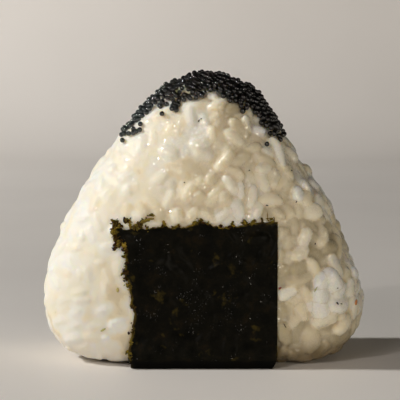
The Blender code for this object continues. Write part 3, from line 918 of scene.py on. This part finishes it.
def folded_under(places):
    """1 on the front below the wavering fold at the foot, where the sheet is painted near-black as shade, and
    0 above it.
    """
    x, y, z = places.T
    fold = NORI_FOLD_HEIGHT + waves_along(x, NORI_FOLD_WAVES)
    return np.where(y < 0, np.clip((fold - z) / (0.3 * MM), 0, 1), 0)


def sheet_solid(outer, inner):
    """A closed thin solid between two grids of points."""
    rows, columns = outer.shape[:2]
    index = np.arange(rows * columns).reshape(rows, columns)
    a, b, c, d = index[:-1, :-1], index[:-1, 1:], index[1:, 1:], index[1:, :-1]
    quads = np.stack([a, b, c, d], axis=-1).reshape(-1, 4)
    rim = np.concatenate([index[0], index[1:, -1], index[-1, -2::-1], index[-2:0:-1, 0]])
    after = np.roll(rim, -1)
    size = rows * columns
    edge = np.stack([after, rim, rim + size, after + size], axis=-1)
    faces = np.concatenate([quads, quads[:, ::-1] + size, edge])
    vertices = np.concatenate([outer.reshape(-1, 3), inner.reshape(-1, 3)])
    return vertices, [tuple(face) for face in faces.tolist()]


def shred(tree, x, z, turn, length, width, curl):
    """A torn shred that grows out of the sheet's edge and curls away from the rice."""
    along = np.array([math.cos(math.radians(turn)), math.sin(math.radians(turn))])
    side = np.array([-along[1], along[0]])
    outer, inner = [], []
    for k in range(-2, SHRED_STEPS + 1):
        t = k / SHRED_STEPS
        taper = math.sqrt(max(1 - max(t, 0) ** 4, 0.04))
        bend = 0.25 * length * max(t, 0) ** 2 * curl
        row = []
        for s in (-0.5, 0.0, 0.5):
            ragged = 0.5 * width * noise.noise((x / MM + 2.5 * t * length / MM, s * 9, z / MM))
            flat = np.array([x, z]) + along * t * length + side * (s * width * taper + bend + ragged)
            y = front_of(tree, flat[0], flat[1])
            lift = 0.14 * MM + max(t, 0) * 0.12 * length + (0.12 * width if s else 0)
            row.append((flat[0], y - lift, flat[1]))
        outer.append(row)
        inner.append([(px, py + SHRED_THICKNESS, pz) for px, py, pz in row])
    return sheet_solid(np.array(outer), np.array(inner))


def front_of(tree, x, z):
    """How far forward a surface, or else the ball's envelope, lies at x and height z."""
    spot, _, _, _ = tree.ray_cast((x, -2 * HALF_DEPTH, z), (0, 1, 0), 2 * HALF_DEPTH)
    return spot.y if spot is not None else front_point(x, z)[1]


def spots_along(draw, points, count):
    """Random spots on a line through points in millimetres, even by length."""
    points = np.array(points) * MM
    lengths = np.concatenate([[0], np.cumsum(np.linalg.norm(np.diff(points, axis=0), axis=1))])
    at = draw.uniform(0, lengths[-1], count)
    return np.column_stack([np.interp(at, lengths, points[:, 0]), np.interp(at, lengths, points[:, 1])])


def crumbs(draw, trees):
    """Points and faces of flat crumbs along the strip's torn edges, and the hue of each point."""
    ball, faces = cube_sphere(BALL_SQUARES)
    parts, hues = [], []
    tufts = np.concatenate([spots_along(draw, line, count) for line, count in CRUMB_LINES])
    for tuft in tufts:
        shade = draw.uniform(0.0, 0.9)
        for _ in range(draw.integers(*TUFT_CRUMBS)):
            x, z = tuft + draw.normal(0, CRUMB_SCATTER, 2)
            if x > NORI_RIGHT - CRUMB_SIZE or z < CRUMB_SIZE:
                continue
            y = min(front_of(tree, x, z) for tree in trees)
            size = CRUMB_SIZE * math.exp(draw.normal(0, CRUMB_SPREAD))
            shape = np.array([size, size * draw.uniform(0.4, 0.8), CRUMB_THICKNESS])
            ragged = 1 + 0.8 * wander(ball + len(parts), 0.6, 15)
            along, side, facing = random_frame(draw)
            spots = (ball * ragged[:, None] * shape / 2) @ np.stack([along, side, facing])
            parts.append(spots + (x, y - 0.1 * MM, z))
            hues += [np.clip(shade + draw.normal(0, 0.15), 0, 1)] * len(ball)
    return *joined_copies(parts, faces), np.array(hues)


def random_frame(draw):
    """Three directions at right angles, the last of them roughly to the front."""
    facing = np.array([0.0, -1.0, 0.0]) + draw.normal(0, 0.45, 3)
    facing /= np.linalg.norm(facing)
    along = np.cross(facing, draw.normal(size=3))
    along /= np.linalg.norm(along)
    return along, np.cross(facing, along), facing


def seaweed(draw, rice_piece):
    """The strip with its torn shreds and crumbs, and how thin and of what hue its fringe is."""
    tree = BVHTree.FromObject(rice_piece, bpy.context.evaluated_depsgraph_get())
    vertices, faces, fringe = nori_sheet(tree)
    sheet_tree = BVHTree.FromPolygons(vertices.tolist(), faces)
    hue = 0.5 + 0.5 * wander(vertices, 2.2 * MM, 12)
    parts = []
    for number, (x, z, turn, length, width, shade) in enumerate(NORI_SHREDS):
        curl = 1 if number % 2 else -1
        spots, cells = shred(tree, x * MM, z * MM, turn, length * MM, width * MM, curl)
        parts.append((spots, cells, np.full(len(spots), shade)))
    parts.append(crumbs(draw, (tree, sheet_tree)))
    for spots, cells, shades in parts:
        start = len(vertices)
        faces += [tuple(start + k for k in cell) for cell in cells]
        vertices = np.concatenate([vertices, spots])
        fringe = np.concatenate([fringe, np.full(len(spots), 0.9)])
        hue = np.concatenate([hue, shades])
    piece = mesh_object("seaweed", vertices, faces)
    store(piece.data, "fringe", fringe)
    store(piece.data, "hue", hue)
    # Below the fold at the foot the sheet is painted near-black: painted shade where it turns under.
    store(piece.data, "fold_shade", folded_under(vertex_array(piece.data)))
    return piece


def cube_sphere(squares):
    """Points and faces of a ball made from a cube with squares by squares faces on each side."""
    places, faces, known = [], [], {}
    steps = np.tan(np.linspace(-1, 1, squares + 1) * math.pi / 4)

    def vertex(point):
        key = tuple(np.round(point, 6))
        if key not in known:
            known[key] = len(places)
            places.append(np.array(point) / np.linalg.norm(point))
        return known[key]

    for axis in range(3):
        for sign in (-1.0, 1.0):
            for i in range(squares):
                for j in range(squares):
                    corners = [(i, j), (i + 1, j), (i + 1, j + 1), (i, j + 1)]
                    face = []
                    for a, b in corners if sign > 0 else corners[::-1]:
                        point = [0.0, 0.0, 0.0]
                        point[axis] = sign
                        point[(axis + 1) % 3] = steps[a]
                        point[(axis + 2) % 3] = steps[b]
                        face.append(vertex(point))
                    faces.append(tuple(face))
    return np.array(places), faces


def roe_places(draw, tree):
    """Centres and radii of the roe's beads, packed one to three deep on the rice."""
    angles = draw.uniform(ROE_RIGHT, ROE_LEFT, ROE_COUNT * 6)
    tilts = draw.uniform(-ROE_WIDEST_TILT, ROE_WIDEST_TILT, len(angles))
    rays = direction(angles, tilts)
    surface = reach(np.tile(CENTRE, (len(rays), 1)), rays)
    surface = surface[inside_roe(surface) > 0][:ROE_COUNT]
    _, normal = height_and_normal(surface)
    level = draw.uniform(*ROE_LEVELS, len(surface)) * MM
    centres = surface + normal * level[:, None]
    radii = ROE_BEAD / 2 * draw.normal(1.0, 0.06, len(centres)).clip(0.86, 1.14)
    owners = np.arange(len(centres))
    looseness = draw.uniform(*ROE_LOOSENESS, len(centres))
    for step in range(ROE_STEPS):
        if step in ROE_THINNINGS:
            kept = without_overlaps(centres)
            centres, radii, looseness, owners = (row[kept] for row in (centres, radii, looseness, owners))
        if step % PAIRS_LAST == 0:
            pairs = near_pairs(centres, owners, 2.4 * radii.max())
        centres = centres + pushes_apart(centres, radii, pairs, 0.97, 0.45)
        centres = hold_roe(centres, radii, looseness, tree)
    return centres, radii


def without_overlaps(centres):
    """Which beads are kept so that no two of them overlap by much."""
    kept = np.ones(len(centres), bool)
    for first, second in zip(*near_pairs(centres, np.arange(len(centres)), ROE_NEAREST)):
        if kept[first] and kept[second]:
            kept[second] = False
    return kept


def hold_roe(centres, radii, looseness, tree):
    """Keeps beads out of the rice, within their patch and under the heap's uneven top."""
    angle, tilt = angle_and_tilt(centres)
    angle = np.clip(angle, ROE_RIGHT, ROE_LEFT)
    tilt = np.clip(tilt, -along_path(ROE_BACK, angle, 1.0), along_path(ROE_FRONT, angle, 1.0))
    distance = np.linalg.norm(centres - CENTRE, axis=1)
    centres = CENTRE + direction(angle, tilt) * distance[:, None]
    height, normal = height_and_normal(centres)
    top = along_path(ROE_TOPS, angle, 1.0) * MM + waves(centres, ROE_BUMPS)
    inward = np.sqrt(np.clip(inside_roe(centres) / 4.0, 0, 1))
    allowed = between((np.minimum(ROE_RIM_TOP, top), top), inward) + looseness
    centres = centres - normal * np.maximum(height + radii - allowed, 0)[:, None]
    for k, (centre, radius) in enumerate(zip(centres.tolist(), radii.tolist())):
        spot, facing, _, distance = tree.find_nearest(centre)
        out = Vector(centre) - spot
        sunk = radius * 0.85 - (distance if out.dot(facing) > 0 else -distance)
        if sunk > 0:
            centres[k] += np.array(facing) * sunk
    return centres


def roe(draw, rice_piece):
    """The heap of roe, with the beads that lie apart from it."""
    tree = BVHTree.FromObject(rice_piece, bpy.context.evaluated_depsgraph_get())
    centres, radii = roe_places(draw, tree)
    strays = []
    for angle, tilt in ROE_STRAYS:
        ray = direction(angle, tilt)
        spot, facing, _, _ = tree.ray_cast(CENTRE + ray * FARTHEST, -ray, FARTHEST)
        strays.append(np.array(spot) + np.array(facing) * ROE_BEAD * 0.4)
    centres = np.concatenate([centres, strays])
    radii = np.concatenate([radii, np.full(len(strays), ROE_BEAD / 2)])
    ball, faces = cube_sphere(BALL_SQUARES)
    parts = [centre + ball * radius for centre, radius in zip(centres, radii)]
    vertices, every = joined_copies(parts, faces)
    piece = mesh_object("roe", vertices, every)
    store(piece.data, "tone", np.repeat(draw.uniform(0, 1, len(centres)), len(ball)))
    return piece


def specks(rice_piece):
    """Small bits of seasoning and peel that stick in the rice."""
    tree = BVHTree.FromObject(rice_piece, bpy.context.evaluated_depsgraph_get())
    ball, faces = cube_sphere(BALL_SQUARES)
    parts, hues = [], []
    for x, z, length, width, turn, hue in SPECKS:
        spot, facing, _, _ = tree.ray_cast((x * MM, -0.04, z * MM), (0, 1, 0), 0.1)
        facing = np.array(facing)
        along = np.array([math.cos(math.radians(turn)), 0.0, math.sin(math.radians(turn))])
        along -= facing * (along @ facing)
        along /= np.linalg.norm(along)
        side = np.cross(facing, along)
        lumpy = ball * (1 + 0.25 * wander(ball + len(parts), 0.7, 14))[:, None]
        size = np.array([length, width, min(width, 0.35)]) * MM / 2
        parts.append(np.array(spot) + (lumpy * size) @ np.stack([along, side, facing]))
        hues += [hue] * len(ball)
    vertices, every = joined_copies(parts, faces)
    piece = mesh_object("specks", vertices, every)
    store(piece.data, "hue", np.array(hues))
    return piece


class Nodes:
    """A short way to write a material's nodes."""

    def __init__(self, name):
        self.material = bpy.data.materials.new(name)
        self.material.use_nodes = True
        self.tree = self.material.node_tree
        self.shader = self.tree.nodes["Principled BSDF"]

    def add(self, kind, settings=None, **inputs):
        node = self.tree.nodes.new(kind)
        for key, value in (settings or {}).items():
            setattr(node, key, value)
        for key, value in inputs.items():
            self.feed(node, key.replace("_", " "), value)
        return node

    def feed(self, node, socket, value):
        if isinstance(value, bpy.types.NodeSocket):
            self.tree.links.new(value, node.inputs[socket])
        else:
            node.inputs[socket].default_value = value

    def feed_in_order(self, node, values):
        for index, value in enumerate(values):
            self.feed(node, index, value)

    def place(self):
        return self.add("ShaderNodeTexCoord").outputs["Object"]

    def stored(self, name):
        return self.add("ShaderNodeAttribute", {"attribute_name": name}).outputs["Fac"]

    def noise(self, scale, detail=2.0, roughness=0.5):
        node = self.add("ShaderNodeTexNoise", Scale=scale, Detail=detail, Roughness=roughness)
        self.feed(node, "Vector", self.place())
        return node.outputs["Fac"]

    def ramp(self, value, stops):
        node = self.add("ShaderNodeValToRGB", Fac=value)
        elements = node.color_ramp.elements
        while len(elements) < len(stops):
            elements.new(0.5)
        for element, (position, colour) in zip(elements, stops):
            element.position = position
            element.color = (*colour, 1.0)
        return node.outputs["Color"]

    def step(self, value, start, end, low=0.0, high=1.0):
        node = self.add("ShaderNodeMapRange", {"interpolation_type": "SMOOTHSTEP"})
        self.feed_in_order(node, (value, start, end, low, high))
        return node.outputs[0]

    def mix(self, share, first, second, blend="MIX"):
        node = self.add("ShaderNodeMix", {"data_type": "RGBA", "blend_type": blend})
        self.feed(node, 0, share)
        for socket, colour in ((6, first), (7, second)):
            self.feed(node, socket, (*colour, 1.0) if isinstance(colour, tuple) else colour)
        return node.outputs[2]

    def maths(self, operation, first, second):
        node = self.add("ShaderNodeMath", {"operation": operation})
        self.feed_in_order(node, (first, second))
        return node.outputs[0]

    def bump(self, height, distance, strength, normal=None):
        node = self.add("ShaderNodeBump", Height=height, Distance=distance, Strength=strength)
        if normal:
            self.feed(node, "Normal", normal)
        return node.outputs["Normal"]

    def vector(self, operation, *values):
        node = self.add("ShaderNodeVectorMath", {"operation": operation})
        self.feed_in_order(node, values)
        return node.outputs["Vector"]

    def facets(self, scale, tilt, normal):
        """A normal that each cell of a fine random pattern tilts its own way."""
        cells = self.add("ShaderNodeTexVoronoi", Scale=scale)
        self.feed(cells, "Vector", self.place())
        centred = self.vector("SUBTRACT", cells.outputs["Color"], (0.5, 0.5, 0.5))
        tilted = self.vector("MULTIPLY_ADD", centred, (2 * tilt, 2 * tilt, 2 * tilt), normal)
        return self.vector("NORMALIZE", tilted)

    def set(self, **inputs):
        for key, value in inputs.items():
            self.feed(self.shader, key.replace("_", " "), value)


def rice_material():
    n = Nodes("rice")
    tone = n.stored("tone")
    grain = n.ramp(tone, [(0.0, (0.53, 0.46, 0.31)), (0.5, (0.90, 0.81, 0.62)), (1.0, (0.94, 0.92, 0.86))])
    # Thin lines along the seams between grains are painted darker and browner: painted shade in the creases.
    seam_shade = n.mix(n.step(n.stored("seam_shade"), 0.2, 1.0, 0.0, 0.45), grain, (0.60, 0.51, 0.32))
    # Where the skin lies deep below the envelope it is painted darker and browner: painted shade in the
    # valleys.
    valley_shade = n.mix(n.step(n.stored("depth"), 0.2, 1.0, 0.0, 0.4), seam_shade, (0.62, 0.53, 0.33))
    lumps = n.bump(n.noise(900.0, 2.0), 0.10 * MM, 0.3)
    split = n.add("ShaderNodeSeparateXYZ", Vector=n.place())
    # Low on the ball, and more on the right, the rice is painted darker and browner: painted shade at the
    # foot where it meets the table.
    foot_shade = n.maths("MULTIPLY", n.step(split.outputs["Z"], 1.0 * MM, 9.0 * MM, 0.9, 0.0),
                   n.step(split.outputs["X"], 0.0, 20.0 * MM, 0.25, 1.0))
    foot_shaded = n.mix(foot_shade, valley_shade, (0.22, 0.16, 0.08))
    wetter = n.step(split.outputs["X"], -22.0 * MM, 2.0 * MM, 0.04, 1.0)
    wet_grains = n.maths("MAXIMUM", n.step(n.noise(260.0, 2.0), 0.38, 0.50), n.step(tone, 0.85, 0.97))
    wet_patch = n.maths("MULTIPLY", wet_grains, wetter)
    wet_spots = n.step(n.noise(2400.0, 2.0), 0.43, 0.54, 0.2, 1.0)
    wet = n.facets(2600.0, 0.34, lumps)
    n.set(Base_Color=foot_shaded, Roughness=0.42, Specular_IOR_Level=0.15, Subsurface_Weight=1.0,
          Subsurface_Scale=n.step(tone, 0.2, 1.0, 0.6, 0.25),
          Subsurface_Radius=(4.6 * MM, 4.0 * MM, 2.8 * MM),
          Coat_Weight=n.maths("MULTIPLY", wet_patch, wet_spots), Coat_Roughness=0.12, Coat_IOR=1.8,
          Normal=lumps, Coat_Normal=wet)
    return n.material


def nori_material():
    n = Nodes("nori")
    mottle = n.noise(300.0, 4.0, 0.6)
    dark = n.ramp(mottle, [(0.35, (0.002, 0.002, 0.001)), (0.55, (0.0045, 0.004, 0.002)),
                           (0.72, (0.012, 0.008, 0.003))])
    thin = n.step(n.noise(230.0, 3.0, 0.55), 0.60, 0.72)
    patches = n.mix(n.maths("MULTIPLY", thin, 0.5), dark, (0.075, 0.055, 0.010))
    hue = n.ramp(n.stored("hue"), [(0.0, (0.030, 0.012, 0.004)), (0.35, (0.060, 0.036, 0.008)),
                                   (0.6, (0.13, 0.10, 0.018)), (1.0, (0.34, 0.23, 0.03))])
    ragged = n.maths("MULTIPLY", n.noise(1200.0, 2.0), 0.5)
    edge = n.step(n.maths("ADD", n.stored("fringe"), ragged), 0.55, 1.15)
    fold_shade = n.stored("fold_shade")
    # Below the fold at the foot the sheet is painted near-black: painted shade where it turns under towards
    # the table.
    colour = n.mix(n.maths("MULTIPLY", fold_shade, 0.85), n.mix(edge, patches, hue), (0.0005, 0.0004, 0.0003))
    facets = n.bump(n.noise(160.0, 2.0), 0.6 * MM, 0.5)
    folds = n.bump(n.noise(700.0, 3.0, 0.6), 0.12 * MM, 0.5, facets)
    above_fold = n.step(fold_shade, 0.0, 1.0, 1.0, 0.0)
    clusters = n.maths("MULTIPLY", n.step(n.noise(330.0, 2.0), 0.56, 0.64), above_fold)
    glints = n.maths("MULTIPLY", clusters, n.step(n.noise(2400.0, 1.0), 0.63, 0.68))
    n.set(Base_Color=colour, Roughness=n.step(mottle, 0.3, 0.7, 0.36, 0.55), Specular_IOR_Level=0.06,
          Coat_Weight=glints, Coat_Roughness=0.14, Coat_IOR=1.6, Normal=folds,
          Coat_Normal=n.facets(3000.0, 0.25, folds))
    return n.material


def roe_material():
    n = Nodes("roe")
    tone = n.ramp(n.stored("tone"), [(0.0, (0.001, 0.0012, 0.0014)), (0.6, (0.002, 0.0022, 0.0024)),
                                     (1.0, (0.008, 0.005, 0.005))])
    split = n.add("ShaderNodeSeparateXYZ", Vector=n.place())
    # Beads on the left are painted a lighter teal-grey: a painted sheen where the key light from the left
    # falls on them.
    left = n.step(split.outputs["X"], -6.0 * MM, -20.0 * MM)
    colour = n.mix(left, tone, (0.016, 0.026, 0.027))
    skin = n.bump(n.noise(2600.0, 2.0), 0.03 * MM, 0.4)
    n.set(Base_Color=colour, Roughness=0.3, Specular_IOR_Level=0.03, Coat_Weight=0.9, Coat_Roughness=0.05,
          Coat_IOR=1.8, Normal=skin)
    return n.material


def speck_material():
    n = Nodes("specks")
    hue = n.ramp(n.stored("hue"), [(0.0, (0.012, 0.008, 0.006)), (0.2, (0.10, 0.07, 0.04)),
                                   (0.5, (0.35, 0.05, 0.04)), (0.75, (0.62, 0.25, 0.08)),
                                   (1.0, (0.50, 0.48, 0.16))])
    shade = n.step(n.noise(2500.0, 2.0), 0.3, 0.7, 0.7, 1.1)
    n.set(Base_Color=n.mix(1.0, hue, shade, "MULTIPLY"), Roughness=0.45)
    return n.material


def camera():
    data = bpy.data.cameras.new("camera")
    data.sensor_width = 36.0
    data.lens = data.sensor_width * VIEW_FOCAL_PIXELS / IMAGE_SIZE
    data.clip_start = 0.01
    made = bpy.data.objects.new("camera", data)
    made.location = (VIEW_SIDE, -VIEW_DISTANCE, VIEW_HEIGHT)
    made.rotation_euler = (math.radians(90 - VIEW_PITCH), 0, 0)
    bpy.context.scene.collection.objects.link(made)
    bpy.context.scene.camera = made


def stage():
    """A wide pale table that sweeps up into a low plain backdrop.

    The backdrop starts farther away than the camera stands, so the ball can also be seen from behind.
    """
    back, front, side, height, bend, steps = 0.65, -1.5, 1.8, 0.16, 0.12, 12
    profile = [(front, 0.0), (back - bend, 0.0)]
    for k in range(1, steps + 1):
        turn = math.pi / 2 * k / steps
        profile.append((back - bend + bend * math.sin(turn), bend - bend * math.cos(turn)))
    profile.append((back, height))
    vertices = [(x, y, z) for y, z in profile for x in (-side, side)]
    faces = [(2 * k, 2 * k + 1, 2 * k + 3, 2 * k + 2) for k in range(len(profile) - 1)]
    floor = mesh_object("stage", vertices, faces)
    n = Nodes("stage")
    grey = n.ramp(n.noise(6.0, 3.0), [(0.3, (0.79, 0.755, 0.72)), (0.7, (0.85, 0.815, 0.78))])
    n.set(Base_Color=grey, Roughness=0.6)
    floor.data.materials.append(n.material)


def light(name, place, target, size, power, colour):
    data = bpy.data.lights.new(name, "AREA")
    data.shape = "DISK"
    data.size = size
    data.energy = power
    data.color = colour
    made = bpy.data.objects.new(name, data)
    made.location = place
    made.rotation_euler = (Vector(target) - Vector(place)).to_track_quat("-Z", "Y").to_euler()
    bpy.context.scene.collection.objects.link(made)


def lights():
    for row in LIGHTS:
        light(*row)
    world = bpy.data.worlds.new("world")
    world.use_nodes = True
    background = world.node_tree.nodes["Background"]
    background.inputs["Color"].default_value = WORLD_COLOUR
    background.inputs["Strength"].default_value = WORLD_STRENGTH
    bpy.context.scene.world = world
    bpy.context.scene.view_settings.view_transform = "Standard"


def dress(piece, material, slot, *nodes):
    """Gives a piece its material and its place in the frame."""
    piece.data.materials.clear()
    piece.data.materials.append(material)
    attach(piece, "root")
    if nodes:
        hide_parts(*nodes)
    print(piece.name, "triangles", sum(len(p.vertices) - 2 for p in piece.data.polygons))


def main():
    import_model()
    draw = np.random.default_rng(SEED)
    camera()
    stage()
    lights()
    rice_piece = rice(draw)
    dress(rice_piece, rice_material(), "rice", "rice_ball")
    dress(seaweed(draw, rice_piece), nori_material(), "nori", "nori_sheet")
    dress(roe(draw, rice_piece), roe_material(), "roe", "black_roe")
    dress(specks(rice_piece), speck_material(), "rice")


main()
